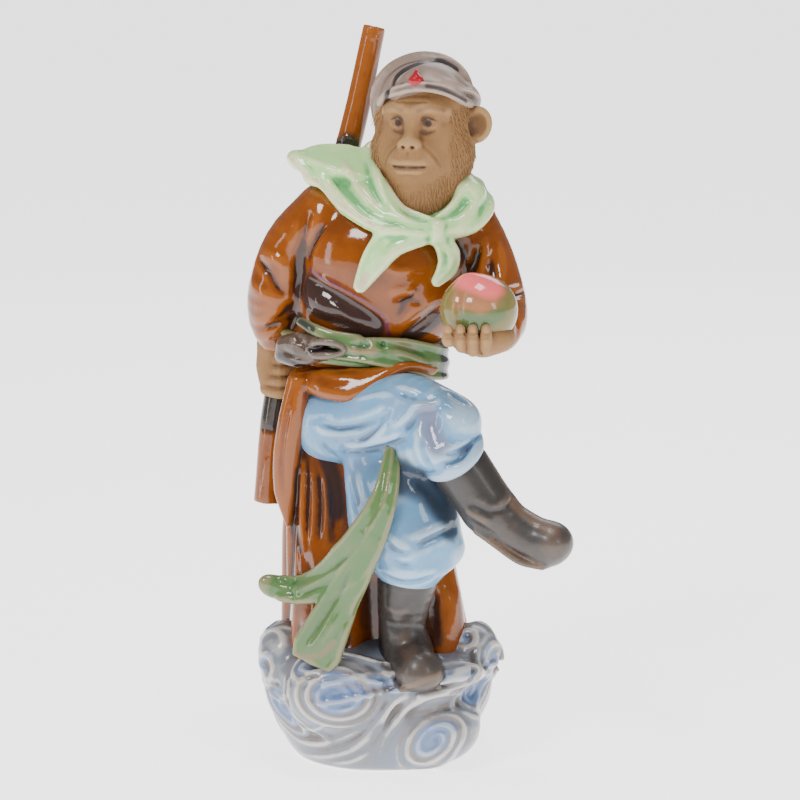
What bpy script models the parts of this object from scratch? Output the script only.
"""Glazed ceramic figure of a seated monkey in a jacket, with a peach and a staff, on a base of cloud scrolls.

The figure, its rock seat and its cloud base are one casting, so they are one solid.
Every mass is a closed form. A voxel remesh fuses the forms, and the underside is then cut flat.
Units are metres, +Z is up, and the figure faces -Y. The origin is the middle of the underside.
"""

import math

import bmesh
import bpy
from mathutils import Matrix, Vector
from mathutils.bvhtree import BVHTree

# Driving sizes
FIGURE_HEIGHT = 0.250  # from the sole of the standing boot to the top of the cap
SOLE_HEIGHT = 0.037  # the cloud's height under that boot
CLOUD_WIDTH = 0.096
CLOUD_DEPTH = 0.088
STAFF_LENGTH = 0.199
STAFF_DIAMETER = 0.0104
PEACH_WIDTH = 0.030
SASH_THICKNESS = 0.0036
SCARF_THICKNESS = 0.0068
HEAD_TURN = 19  # degrees to the figure's right
RIDGE_LIFT = 1.04  # how far a scroll's ridge stands out of its lump

# How the fused surface is made
VOXEL = 0.0011
SMOOTHING_ROUNDS = 3
MOST_TRIANGLES = 9500
FLOOR_CUT = 0.060

# The pose is drawn in parts of the figure's height. One part is 1 mm at the real size.
PART = FIGURE_HEIGHT / 250
RING_SIDES = 20
PATH_STEPS = 6


def at(x, y, z):
    """A place on the figure, in parts of its height, with z counted from the standing boot's sole."""
    return Vector((x * PART, y * PART, SOLE_HEIGHT + z * PART))


def on_base(x, y, z):
    """A place on the cloud base, as shares of its half width, its half depth and the sole's height."""
    return Vector((x * CLOUD_WIDTH / 2, y * CLOUD_DEPTH / 2, z * SOLE_HEIGHT))


def curve_through(points, steps=PATH_STEPS):
    """Points along the Catmull-Rom curve through the given points, each with its place in spans."""
    last = len(points) - 1
    path = []
    for span in range(last):
        p0, p1, p2, p3 = (points[min(max(span + k, 0), last)] for k in (-1, 0, 1, 2))
        for step in range(steps):
            t = step / steps
            path.append((span + t, 0.5 * (
                2 * p1 + (p2 - p0) * t
                + (2 * p0 - 5 * p1 + 4 * p2 - p3) * t ** 2
                + (3 * p1 - p0 - 3 * p2 + p3) * t ** 3
            )))
    path.append((last, points[last].copy()))
    return path


def between(values, place):
    """The value at a place along a list, where 1.5 is half way from the second value to the third."""
    low = min(int(place), len(values) - 2)
    share = place - low
    return values[low] * (1 - share) + values[low + 1] * share


def egg(clay, centre, radii, turn=(0, 0, 0)):
    """An ellipsoid. Radii are in metres, and turn is in degrees about X, Y and Z."""
    rotation = Matrix.Rotation(math.radians(turn[2]), 3, "Z") @ Matrix.Rotation(math.radians(turn[1]), 3, "Y")
    rotation = rotation @ Matrix.Rotation(math.radians(turn[0]), 3, "X")
    place = Matrix.Translation(centre) @ rotation.to_4x4() @ Matrix.Diagonal((*radii, 1))
    bmesh.ops.create_icosphere(clay, subdivisions=3, radius=1, matrix=place)


def limb(clay, points, radii, thickness=None, facing=None, round_ends=True):
    """A tube along a smooth curve. With thickness and facing it is flat: radii are then its half widths."""
    path = curve_through(points)
    facings = None if facing is None else (facing if isinstance(facing, list) else [facing] * len(points))
    normal = None
    rings = []
    ends = []
    for index, (place, point) in enumerate(path):
        ahead = path[min(index + 1, len(path) - 1)][1]
        behind = path[max(index - 1, 0)][1]
        along = (ahead - behind).normalized()
        hint = between(facings, place) if facings else (normal or along.orthogonal())
        normal = (hint - along * hint.dot(along)).normalized()
        side = along.cross(normal)
        wide = between(radii, place)
        thick = wide if thickness is None else min(thickness / 2, wide)
        rings.append([
            clay.verts.new(
                point
                + side * wide * math.cos(2 * math.pi * k / RING_SIDES)
                + normal * thick * math.sin(2 * math.pi * k / RING_SIDES)
            )
            for k in range(RING_SIDES)
        ])
        if round_ends and index in (0, len(path) - 1):
            turned = Matrix((side, normal, along)).transposed().to_4x4()
            ends.append(Matrix.Translation(point) @ turned @ Matrix.Diagonal((wide, thick, thick, 1)))
    for first, second in zip(rings, rings[1:]):
        for k in range(RING_SIDES):
            after = (k + 1) % RING_SIDES
            clay.faces.new((first[k], first[after], second[after], second[k]))
    clay.faces.new(list(reversed(rings[0])))
    clay.faces.new(rings[-1])
    for end in ends:
        bmesh.ops.create_icosphere(clay, subdivisions=2, radius=1, matrix=end)


def parts(*values):
    """Radii or widths given in parts of the figure's height."""
    return [value * PART for value in values]


def fold(clay, size, *places):
    """A raised fold, tapered at both ends, laid on whatever surface is nearest to each of its places."""
    surface = BVHTree.FromBMesh(clay)
    drawn = curve_through([at(*place) for place in places], 3)
    pressed = [surface.find_nearest(point)[0] for _, point in drawn]
    last = len(pressed) - 1
    widths = [size * (0.4 + 0.8 * math.sin(math.pi * n / last)) for n in range(last + 1)]
    limb(clay, pressed, parts(*widths))


def tube(clay, radii, *places):
    """A round form through the given places. Places and radii are in parts of the figure's height."""
    limb(clay, [at(*place) for place in places], parts(*radii))


def strap(clay, widths, thickness, facings, *places):
    """A flat form through the given places, with one facing for all of them or one for each."""
    turned = [Vector(facing) for facing in facings] if isinstance(facings, list) else Vector(facings)
    limb(clay, [at(*place) for place in places], parts(*widths), thickness, turned)


def mass(clay, place, radii, turn=(0, 0, 0)):
    """An ellipsoid in parts of the figure's height."""
    egg(clay, at(*place), parts(*radii), turn)


def torso(clay):
    """The jacket's body, leaning to the figure's left from the hips to the collar."""
    mass(clay, (-10, 12, 107), (30, 24, 21))
    mass(clay, (-9, 9, 129), (30, 22, 22))
    mass(clay, (-4, 6, 146), (33.5, 22.5, 20), (0, 10, 0))
    mass(clay, (3, 3, 162), (36, 23.5, 29), (0, 14, 0))
    tube(clay, (12, 14, 13), (-20, 6, 181), (8, 4, 184), (30, 4, 180))
    tube(clay, (14, 13), (10, 4, 178), (15, 1, 192))
    # The wrapped front crosses from the figure's right ribs down to the belt, with drawn folds beside it
    fold(clay, 3.0, (-30, -6, 157), (-19, -18, 151), (-8, -20, 145), (-1, -20, 134))
    fold(clay, 2.4, (-30, -10, 148), (-19, -18, 142), (-6, -20, 136))
    fold(clay, 2.4, (-26, -9, 176), (-29, -10, 162), (-28, -12, 148))
    fold(clay, 2.2, (-14, -20, 174), (-2, -22, 162), (9, -22, 150))
    fold(clay, 2.2, (24, -20, 160), (14, -22, 150), (5, -20, 136))
    fold(clay, 2.4, (-20, 30, 172), (-24, 30, 150), (-18, 32, 136))
    fold(clay, 2.4, (6, 30, 176), (2, 32, 158), (6, 32, 140))
    fold(clay, 2.4, (28, 24, 172), (24, 28, 156), (16, 30, 138))


def right_arm(clay):
    """The arm behind the hip, with its bunched sleeve."""
    tube(
        clay,
        (14, 12.5, 12, 11, 9),
        (-22, 6, 181), (-35.5, 7, 168), (-42, 8, 151), (-43.4, 12, 141), (-43.6, 15, 134.5),
    )
    fold(clay, 2.2, (-52, 2, 170), (-42, -8, 160), (-33, -4, 158))
    fold(clay, 2.6, (-57, 4, 156), (-47, -8, 151), (-35, -4, 152))
    fold(clay, 2.6, (-57, 6, 147), (-47, -6, 141), (-35, 0, 145))
    fold(clay, 2.2, (-55, 14, 140), (-47, -2, 134), (-36, 6, 138))
    fold(clay, 2.4, (-57, 10, 160), (-50, 24, 150), (-36, 22, 144))


def left_arm(clay):
    """The bent arm that brings the peach forward."""
    tube(
        clay,
        (14, 12, 11, 10, 9.4),
        (30, 4, 180), (39, 0, 167), (45, -7, 152), (46.6, -20, 144), (44.4, -28, 141),
    )
    fold(clay, 2.4, (40, -14, 174), (50, -13, 162), (58, -8, 150))
    fold(clay, 2.4, (32, -14, 166), (42, -18, 154), (55, -18, 146))
    fold(clay, 2.2, (55, 10, 164), (57, 2, 148), (54, -8, 136))
    tube(clay, (2, 2, 2, 2), (38, -29, 147), (47, -31, 148.5), (53, -28, 143), (50, -27, 134))


def staff_path():
    """The staff's line, from its lower end to its upper end. It bows a little between hand and shoulder."""
    foot, grip, shoulder = at(-48, 19, 62), at(-43, 21.5, 108), at(-12.7, 25, 212.6)
    direction = (at(-3.4, 28, 255) - shoulder).normalized()
    below = (foot - grip).length + (shoulder - grip).length
    return [foot, grip, (grip + shoulder) / 2, shoulder, shoulder + direction * (STAFF_LENGTH - below)]


def staff(clay):
    """The staff behind the shoulder."""
    path = staff_path()
    limb(clay, path, [STAFF_DIAMETER / 2] * len(path), round_ends=False)


def right_hand(clay):
    """The hand that holds the staff at the hip."""
    tube(clay, (6, 6.2, 5.6), (-43.6, 14, 137), (-45, 17, 128), (-45.4, 19, 120))
    mass(clay, (-46.5, 19.5, 116.5), (4.6, 5.5, 9))
    for finger in range(4):
        height = 123 - 4.6 * finger
        tube(
            clay,
            (2.3, 2.5, 2.4, 1.9),
            (-46.4, 25, height + 1), (-47.6, 18, height), (-41.9, 14.1, height - 1),
            (-37.2, 16.5, height - 1),
        )
    tube(clay, (2.8, 2.6, 2.2), (-44, 24, 124), (-38, 27, 122), (-35, 22, 119))


def left_hand_and_peach(clay):
    """A cupped hand, its four fingers curled up over the front of the peach."""
    peach = at(37, -40, 151)
    radius = PEACH_WIDTH / 2
    egg(clay, peach, (radius, radius * 0.97, radius * 0.95))
    limb(clay, [peach, peach + Vector((-0.23, -0.1, 0.81)) * radius], [radius * 0.75, radius * 0.3])
    palm = peach + Vector((0.08, -0.1, -0.75)) * radius
    egg(clay, palm, (radius * 0.85, radius * 0.84, radius * 0.49))
    limb(clay, [at(44, -27, 138), palm], [radius * 0.48, radius * 0.45])
    for across in (-0.80, -0.50, -0.18, 0.16):
        low = -1.06 + 0.42 * across ** 2
        limb(
            clay,
            [
                peach + Vector((across * 0.8, -0.30, low)) * radius,
                peach + Vector((across * 0.9, -0.72, low + 0.06)) * radius,
                peach + Vector((across, -0.96, -0.70)) * radius,
                peach + Vector((across, -0.99, -0.42)) * radius,
            ],
            [radius * 0.19, radius * 0.20, radius * 0.19, radius * 0.16],
        )
    limb(
        clay,
        [palm + Vector((0.6, 0.5, 0)) * radius, peach + Vector((0.93, 0.45, -0.4)) * radius,
         peach + Vector((0.93, 0.4, 0)) * radius],
        [radius * 0.28, radius * 0.21, radius * 0.17],
    )


def of_head(side, ahead, up):
    """A place counted from the head's middle: towards its left ear, towards its nose, and up."""
    turn = math.radians(HEAD_TURN)
    forward = Vector((-math.sin(turn), -math.cos(turn)))
    return at(17 - forward.y * side + forward.x * ahead, forward.x * side + forward.y * ahead, 214 + up)


def head(clay):
    """A plain macaque head, turned to the figure's right, with the fur of the jaw and throat as one mass."""
    turn = (0, 0, -HEAD_TURN)
    skull = (
        ((0, -2, 8), (17.4, 18.2, 17)),
        ((0, 0, -5), (19.4, 17, 18)),
        ((0, 1.5, -17), (16.5, 17, 17)),
        ((0, 4.5, -28), (11.5, 14, 12.5)),
    )
    muzzle = (
        ((0, 9, -10), (12.5, 12, 10)),
        ((0, 14.5, -8.5), (9.8, 8.6, 7.2)),
        ((0, 13, -15), (7.4, 7.4, 4.6)),
    )
    for place, radii in skull + muzzle:
        egg(clay, of_head(*place), parts(*radii), turn)
    for side in (-1, 1):
        egg(clay, of_head(side * 12.5, 8, -5), parts(6.2, 5.5, 8), turn)
        egg(clay, of_head(side * 6.4, 12.4, 5.6), parts(4.3, 4, 3.6), turn)
        egg(clay, of_head(side * 2.6, 20.4, -2.6), parts(2.2, 1.9, 1.6), turn)
    brow = ((-12, 12, 9.8), (-6.5, 16.6, 11.6), (0, 17.6, 10.8), (6.5, 16.6, 11.6), (12, 12, 9.8))
    limb(clay, [of_head(*place) for place in brow], parts(1.8, 2.5, 2.2, 2.5, 1.8))
    limb(clay, [of_head(0, 16.2, 8), of_head(0, 17.8, 3), of_head(0, 20.4, -1.4)], parts(2.2, 2, 2.4))
    for lip in (-9.2, -13):
        line = [of_head(-7, 18, lip + 0.6), of_head(0, 22.4, lip), of_head(7, 18, lip + 0.6)]
        limb(clay, line, parts(1.2, 1.6, 1.2))
    mass(clay, (35.6, -1, 218.5), (7, 3.4, 7.8), (0, 12, -8))
    mass(clay, (0.4, -3, 218.5), (4.6, 3, 6.6), (0, -12, -42))


def cap(clay):
    """A soft cap: a domed front, a narrow band and a thick roll that stands up behind."""
    mass(clay, (17, -1.8, 233.6), (16.2, 20, 10.4))
    mass(clay, (27, 1, 228.5), (11.5, 15, 8.4), (0, 10, 0))
    mass(clay, (15, 7, 227), (16, 14, 14))
    strap(
        clay,
        [2.2] * 7,
        parts(3)[0],
        [(-1, -0.2, 0.1), (-0.9, -0.5, 0.1), (-0.5, -1, 0.1), (0, -1, 0.1), (0.6, -0.9, 0.1), (1, -0.4, 0.1),
         (1, 0, 0)],
        (-1.5, 2, 219.5), (0.6, -8, 225.5), (7, -17.4, 230.6), (16, -21.4, 232.4), (25.5, -17.8, 230),
        (33, -8, 225), (37.4, 2, 219.5),
    )
    tube(
        clay,
        (3.6, 5, 5.6, 5.6, 5.2, 5, 4.6, 4),
        (3, 13, 212), (0.4, 14, 221), (0.8, 14, 230), (5.5, 14, 236.6), (14, 12, 240.6), (23, 11, 240),
        (29.5, 11, 235.6), (33, 10, 228),
    )
    fold(clay, 1.8, (22, -24, 234), (29, -18, 238), (33, -8, 238))
    mass(clay, (13, -20.6, 235.6), (3.2, 1.8, 2.6), (-18, 0, 0))
    tube(clay, (1.9, 1.3, 0.9), (13, -20.2, 236.4), (13, -18.4, 238.6), (13.2, -16.2, 240.6))


def scarf(clay):
    """The neckerchief: a broad fold over each shoulder, a wing behind, rolled edges, a knot and two tails."""
    thick = SCARF_THICKNESS
    tail = SASH_THICKNESS * 1.4
    strap(
        clay,
        (4, 8, 12.5, 12.5, 10, 9, 10, 9.5, 8, 4),
        thick,
        [(0, -1, 0.5), (-0.4, -0.9, 0.8), (-0.5, -0.4, 0.95), (-0.5, 0.3, 0.9), (-0.3, 0.8, 0.7),
         (0.1, 0.9, 0.7), (0.6, 0.7, 0.8), (0.9, -0.2, 0.8), (0.6, -0.8, 0.8), (0, -1, 0.5)],
        (20, -22, 174.8), (5, -21, 179.3), (-9, -12, 190), (-13, 6, 198), (-4, 20, 202), (14, 24, 201),
        (30, 15, 196), (36, -2, 188), (31, -16.5, 178.6), (20, -22, 174.8),
    )
    mass(clay, (17, 1, 178), (23, 20, 9))
    mass(clay, (33.5, -5, 189.5), (7.5, 11, 6.5), (0, 25, 0))
    mass(clay, (-25, -2, 197), (9, 9, 5), (25, -25, 0))
    strap(
        clay,
        (9, 9.5, 7, 3.6),
        thick,
        [(-0.2, -0.5, 1), (-0.2, -0.55, 1), (-0.2, -0.5, 1), (-0.3, -0.4, 1)],
        (-4, -2, 200), (-16, 0, 203), (-26, 3, 204.5), (-34, 5, 203),
    )
    tube(
        clay,
        (3.4, 3.6, 3.2, 3, 3, 2.8),
        (-35, 7, 203.8), (-34.5, 3, 202.2), (-29, -4, 197.6), (-23, -11.5, 190.4), (-14, -17, 182.6),
        (-3, -21.6, 176.7),
    )
    tube(
        clay,
        (3, 3.2, 3.2, 3.2, 3.2),
        (25, -21.5, 171.8), (33, -18.5, 173.2), (37.5, -12, 177.8), (39, -1, 186), (36, 8, 195),
    )
    mass(clay, (20.6, -24, 176.1), (5.4, 4.4, 5.2), (0, 25, 0))
    strap(
        clay,
        (4.4, 6.4, 6.4, 4.6, 2.4),
        tail,
        (-0.2, -1, 0.15),
        (18, -23.2, 173.7), (7, -23.4, 172.8), (-1, -22.6, 167.9), (-5.5, -21.4, 159.9), (-8.8, -20.2, 152.9),
    )
    strap(
        clay,
        (3.6, 4.8, 5, 2.8),
        tail,
        (0.1, -1, 0.1),
        (22, -23.2, 173.7), (25.6, -20.6, 167.4), (26.4, -19.2, 161.4), (22.5, -18.6, 155.5),
    )


def belt(clay):
    """The sash round the waist, with its loop at the figure's right hip."""
    thick = SASH_THICKNESS * 1.1
    ring = []
    outward = []
    for step in range(13):
        angle = 2 * math.pi * step / 12
        across, behind = math.cos(angle), math.sin(angle)
        ring.append((-8 + 31.6 * across, 9 + 23.5 * behind, 128.6 - 2.4 * across))
        outward.append((across, 1.2 * behind, 0))
    strap(clay, [5.2] * 13, thick, outward, *ring)
    strap(
        clay,
        (3.6, 5.2, 6.8, 7.2, 6),
        thick,
        [(-0.3, -1, 0.2), (0, -1, 0.3), (0.3, -1, 0.3), (0.8, -1, 0.2), (1, 0, 0)],
        (-20, -14.6, 130.6), (-6, -17.8, 130.6), (8, -16.6, 128.6), (19.4, -8.6, 124.6), (24.6, 4, 123.4),
    )
    tube(clay, (5.2, 6.4, 4.2), (-38, -3, 134), (-33, -9.5, 136), (-27, -14, 136.5))
    tube(clay, (4, 5.2, 4.2, 2.4), (-39.5, -3, 127), (-33.5, -9.5, 127.5), (-26, -15, 129), (-19, -17.6, 130))
    tube(
        clay,
        (2.1, 2.2, 2, 2.2, 2),
        (-28, -16, 134.6), (-22, -19, 135.4), (-16, -19.4, 133), (-22, -19, 130), (-28, -16, 131),
    )


def skirts(clay):
    """The jacket's skirts: a hem over the thigh in front, long panels at the right, and a fall behind."""
    strap(
        clay,
        (3.5, 6, 7.2, 4.6, 2.2, 1.8),
        parts(5.2)[0],
        [(-0.5, -1, 0.5), (-0.3, -1, 0.6), (-0.1, -1, 0.7), (0, -1, 0.8), (0.2, -1, 0.9), (0.4, -1, 0.9)],
        (-31, -9, 117.5), (-24, -14.5, 117.5), (-13, -18.5, 117.5), (-3, -20, 120.5), (9, -19, 124.5),
        (20, -13, 122),
    )
    strap(
        clay,
        (4.4, 5.2, 5.4, 4.8, 1.6),
        parts(6.4)[0],
        (-0.3, -1, 0),
        (-33.5, -10.5, 118), (-36.4, -11.5, 102), (-38.4, -11.8, 87.5), (-38.8, -11.8, 73),
        (-37.6, -11.8, 60.5),
    )
    strap(
        clay,
        (7, 8.4, 7.4, 6),
        parts(6)[0],
        (-0.5, -1, 0),
        (-27, -1, 106), (-30, -6, 80), (-31.5, -10, 54), (-32.5, -10, 34),
    )
    strap(
        clay,
        (9, 10, 8, 7),
        parts(7)[0],
        (-0.1, -1, 0),
        (-20, 0, 106), (-20, -7, 84), (-22, -13, 50), (-25, -14, 26),
    )
    fold(clay, 2.4, (-26, -14, 96), (-25, -18, 72), (-28, -20, 44))
    fold(clay, 2.4, (-18, -14, 86), (-17, -20, 66), (-20, -24, 40))
    for angle in range(-32, 213, 30):
        across, behind = math.cos(math.radians(angle)), math.sin(math.radians(angle))
        tube(
            clay,
            (5.5, 6, 6.2, 7),
            (-9 + 24 * across, 11 + 19 * behind, 114),
            (-8 + 25.5 * across, 10 + 24 * behind, 80),
            (-6.5 + 27 * across, 9 + 26 * behind, 50),
            (-4 + 31.5 * across, 8 + 28 * behind, 10),
        )


def crossed_leg(clay):
    """The figure's right leg, laid over the left knee, with a rolled cuff and its boot held out."""
    tube(clay, (17, 17.5, 17.5, 14.4), (-21, -1, 98.5), (-6, -9, 101), (9, -23, 105), (18.5, -31, 105.5))
    mass(clay, (28, -36, 105), (10.6, 12.6, 10.8))
    mass(clay, (21.5, -37, 97), (13, 13.6, 12), (0, 20, 0))
    mass(clay, (24.6, -37.5, 94.5), (12, 13, 8.6), (0, 33, 0))
    mass(clay, (13, -36.5, 94.5), (7.6, 8, 8.6), (0, 20, 0))
    cuff = []
    for step in range(13):
        angle = 2 * math.pi * step / 12
        across, toward = math.cos(angle), math.sin(angle)
        middle = (27.2 + 2.6 * toward, -38 - 11.2 * toward, 93.2 - 3.4 * toward)
        cuff.append((middle[0] + 9.4 * across, middle[1], middle[2] + 6.2 * across))
    tube(clay, [2.5] * 13, *cuff)
    tube(clay, (9.6, 11.4, 10.8, 9.8), (27, -37, 93), (31, -38.5, 87.4), (36.4, -40, 80), (41.2, -41.5, 73.4))
    tube(clay, (8.6, 7.8, 7.4, 6.6), (40, -41, 72.6), (50, -44, 66.4), (60, -47, 62.4), (66.6, -49.5, 60.8))
    strap(
        clay,
        (8.2, 8, 8.4, 7.8),
        parts(13)[0],
        (0.4, -0.15, 1),
        (38, -40, 70), (49, -43.3, 64), (60, -46.8, 59.6), (67.6, -50, 58),
    )
    strap(
        clay,
        (8.2, 8, 8.8, 8.2),
        parts(3.2)[0],
        (0.4, -0.15, 1),
        (38.5, -40, 65.6), (49.5, -43.3, 58.4), (60, -46.8, 53.4), (67.8, -50.2, 52.2),
    )
    # Folds where the trouser leg is drawn up at the knee
    fold(clay, 2.6, (-24, -16, 96), (-4, -27, 93), (10, -38, 96))
    fold(clay, 2.4, (-20, -16, 104), (-4, -24, 101), (8, -38, 104))
    fold(clay, 2.4, (20, -48, 111), (12, -44, 108), (4, -38, 100))
    fold(clay, 2.2, (14, -48, 100), (14, -50, 92), (20, -51, 87))


def standing_leg(clay):
    """The figure's left leg, its knee under the crossed thigh and its boot on the cloud."""
    tube(clay, (17, 18, 18), (4, 2, 96), (6, -16, 84), (6, -24, 76))
    tube(clay, (13.5, 13, 14), (-2, -18, 92), (-1.5, -21, 76), (2, -25, 62))
    mass(clay, (8.6, -24, 64.5), (21.6, 18, 19))
    tube(clay, (18.5, 15), (9, -26, 60), (11, -26.5, 50))
    mass(clay, (10.5, -27, 47), (15.5, 13.5, 5.5))
    tube(clay, (10, 8.5), (20, -28, 60), (24, -28, 54))
    tube(clay, (13.2, 11.8, 9.4, 9.6), (11, -26, 53), (9.6, -25.5, 40), (7.6, -24.5, 24), (8.8, -24, 12))
    strap(clay, (9, 9, 8.6), parts(13)[0], (0, 0.25, 1), (8.6, -20, 9), (10.5, -29, 9.5), (14.6, -40.5, 6))
    tube(clay, (8.6, 7.8, 6.6), (9.5, -24, 13), (12, -32, 10.5), (14.4, -39, 7.6))
    sole = ((8.5, -17, 2.4), (10.5, -28, 2.6), (14.8, -42.4, 0.8))
    strap(clay, (9.6, 9.4, 9), parts(3)[0], (0, 0.12, 1), *sole)
    fold(clay, 2.4, (10, -44, 44), (22, -40, 52), (29, -34, 56))
    fold(clay, 2.2, (-4, -38, 76), (-6, -38, 64), (-2, -40, 52))
    fold(clay, 2.2, (0, -44, 56), (6, -45, 50), (12, -44, 48))


def hanging_sash(clay):
    """The long sash end that falls from the lap and parts into two tails over the rock."""
    thick = SASH_THICKNESS * 1.3
    strap(
        clay,
        (3.2, 5, 7.6, 9, 7.6, 6, 6.6),
        thick,
        [(0, -1, 0), (-0.1, -1, 0), (-0.2, -1, 0), (-0.3, -1, 0.1), (-0.3, -1, 0.3), (-0.3, -1, 0.5),
         (-0.2, -1, 0.6)],
        (3.5, -42, 94), (0.6, -45, 77), (-5.6, -45, 63), (-13, -41, 51), (-22, -34, 42), (-32, -26, 36.5),
        (-43, -20, 35.4),
    )
    strap(
        clay,
        (5, 6.5, 7, 9, 10.5, 9),
        thick,
        (-0.3, -1, 0.1),
        (-4, -45, 62), (-10.5, -41.5, 47), (-16, -38, 35.4), (-20.7, -37, 25.5), (-25.5, -36, 15),
        (-27.5, -35.5, 10),
    )
    fold(clay, 1.6, (-4, -47, 68), (-14, -44, 50), (-24, -39, 24))


def rock(clay):
    """The rock seat under the figure."""
    limb(
        clay,
        [at(-8, 12, 92), at(-8, 7, 66), at(-6, 4, 34), at(-4, 4, 0)],
        parts(24, 26, 29, 33),
        parts(44)[0],
        Vector((0, 1, 0)),
        round_ends=False,
    )
    mass(clay, (-9, 11, 104), (30, 25, 26))
    tube(clay, (9, 12, 14), (-20, -4, 76), (-21, -13, 40), (-22, -19, 2))
    tube(clay, (6, 8.5, 9.5), (18, -8, 60), (23, -12, 30), (25, -16, 4))


def scroll(clay, centre, radii, toward, turns, thickness, start=0.0):
    """A raised spiral on the face of an ellipsoid lump that looks toward a direction."""
    outward = toward.normalized()
    across = Vector((0, 0, 1)).cross(outward).normalized()
    up = outward.cross(across)
    points = []
    steps = int(turns * 10)
    for step in range(steps + 1):
        share = step / steps
        angle = start + turns * 2 * math.pi * share
        reach = 0.90 * (1 - share) + 0.06 * share
        flat = (across * math.cos(angle) + up * math.sin(angle)) * reach
        local = (flat + outward * math.sqrt(1 - reach * reach)) * RIDGE_LIFT
        points.append(centre + Vector(local[k] * radii[k] for k in range(3)))
    limb(clay, points, [thickness * (0.75 + 0.25 * math.sin(math.pi * n / steps)) for n in range(steps + 1)])


def cloud(clay):
    """The base: heaped lumps of cloud, each with a scroll on its outer face."""
    wide, deep, tall = CLOUD_WIDTH / 2, CLOUD_DEPTH / 2, SOLE_HEIGHT
    egg(clay, on_base(-0.02, 0.04, 0.98), (wide * 0.97, deep * 0.95, tall * 0.50))
    egg(clay, on_base(-0.02, 0.04, 0.66), (wide * 0.94, deep * 0.94, tall * 0.70))
    egg(clay, on_base(-0.02, 0.02, 0.34), (wide * 0.80, deep * 0.84, tall * 0.66))
    lumps = (
        ((-0.38, -0.54, 0.84), (0.46, 0.44, 0.50), (-0.25, -1, 0.05), 2.1, 0.4),
        ((0.38, -0.54, 0.40), (0.50, 0.42, 0.42), (0.25, -1, -0.05), 2.1, 2.4),
        ((0.30, -0.58, 0.78), (0.34, 0.34, 0.22), (0.3, -1, 0.5), 0.0, 0.0),
        ((0.70, -0.22, 1.00), (0.31, 0.42, 0.40), (1, -0.9, 0.1), 1.6, 0.0),
        ((-0.74, -0.20, 0.92), (0.30, 0.42, 0.46), (-1, -0.8, 0.1), 1.6, 3.0),
        ((0.66, 0.26, 0.80), (0.34, 0.46, 0.50), (1, 0.3, 0), 1.6, 1.0),
        ((-0.68, 0.30, 0.76), (0.32, 0.44, 0.50), (-1, 0.3, 0), 1.6, 1.0),
        ((-0.38, 0.58, 0.84), (0.44, 0.40, 0.50), (-0.5, 1, 0), 1.8, 1.0),
        ((0.36, 0.58, 0.62), (0.46, 0.40, 0.50), (0.5, 1, 0), 1.8, 0.0),
    )
    for place, size, toward, turns, start in lumps:
        radii = (size[0] * wide, size[1] * deep, size[2] * tall)
        egg(clay, on_base(*place), radii)
        if turns:
            scroll(clay, on_base(*place), radii, Vector(toward), turns, 0.062 * SOLE_HEIGHT, start)
    for height, reach in ((0.32, 0.86), (0.09, 0.74)):
        ring = [
            on_base(reach * math.cos(angle * math.pi / 12), reach * math.sin(angle * math.pi / 12),
                    height + 0.06 * math.sin(angle * 1.3))
            for angle in range(25)
        ]
        limb(clay, ring, [0.06 * SOLE_HEIGHT] * len(ring))


def material(name, colour, roughness):
    """A plain glaze."""
    made = bpy.data.materials.new(name)
    made.use_nodes = True
    shader = made.node_tree.nodes["Principled BSDF"]
    shader.inputs["Base Color"].default_value = (*colour, 1)
    shader.inputs["Roughness"].default_value = roughness
    shader.inputs["Metallic"].default_value = 0.0
    return made


def floor_cutter():
    """The block that cuts the underside flat at z = 0."""
    block = bmesh.new()
    bmesh.ops.create_cube(block, size=1, matrix=Matrix.Translation((0, 0, -FLOOR_CUT / 2)) @ Matrix.Diagonal(
        (CLOUD_WIDTH * 2, CLOUD_DEPTH * 2, FLOOR_CUT, 1)))
    mesh = bpy.data.meshes.new("floor_cutter")
    block.to_mesh(mesh)
    block.free()
    cutter = bpy.data.objects.new("floor_cutter", mesh)
    cutter.hide_render = True
    cutter.display_type = "WIRE"
    bpy.context.scene.collection.objects.link(cutter)
    return cutter


def faces_after_modifiers(obj):
    """How many faces the object has with its modifiers."""
    graph = bpy.context.evaluated_depsgraph_get()
    return len(obj.evaluated_get(graph).data.polygons)


def main():
    for obj in list(bpy.data.objects):
        bpy.data.objects.remove(obj)
    clay = bmesh.new()
    body = (torso, right_arm, left_arm, staff, right_hand, left_hand_and_peach, head, rock, skirts)
    dress = (cap, scarf, belt, crossed_leg, standing_leg, hanging_sash, cloud)
    for form in body + dress:
        form(clay)
    mesh = bpy.data.meshes.new("monkey_figure")
    clay.to_mesh(mesh)
    clay.free()
    figure = bpy.data.objects.new("monkey_figure", mesh)
    bpy.context.scene.collection.objects.link(figure)
    mesh.materials.append(material("amber_glaze", (0.52, 0.24, 0.07), 0.2))

    fuse = figure.modifiers.new("fuse", "REMESH")
    fuse.mode = "VOXEL"
    fuse.voxel_size = VOXEL
    fuse.use_smooth_shade = True
    soften = figure.modifiers.new("soften", "SMOOTH")
    soften.factor = 0.5
    soften.iterations = SMOOTHING_ROUNDS
    quads = faces_after_modifiers(figure)
    thin = figure.modifiers.new("thin", "DECIMATE")
    thin.ratio = MOST_TRIANGLES / (2 * quads)
    cut = figure.modifiers.new("flat_underside", "BOOLEAN")
    cut.object = floor_cutter()
    cut.operation = "DIFFERENCE"


main()
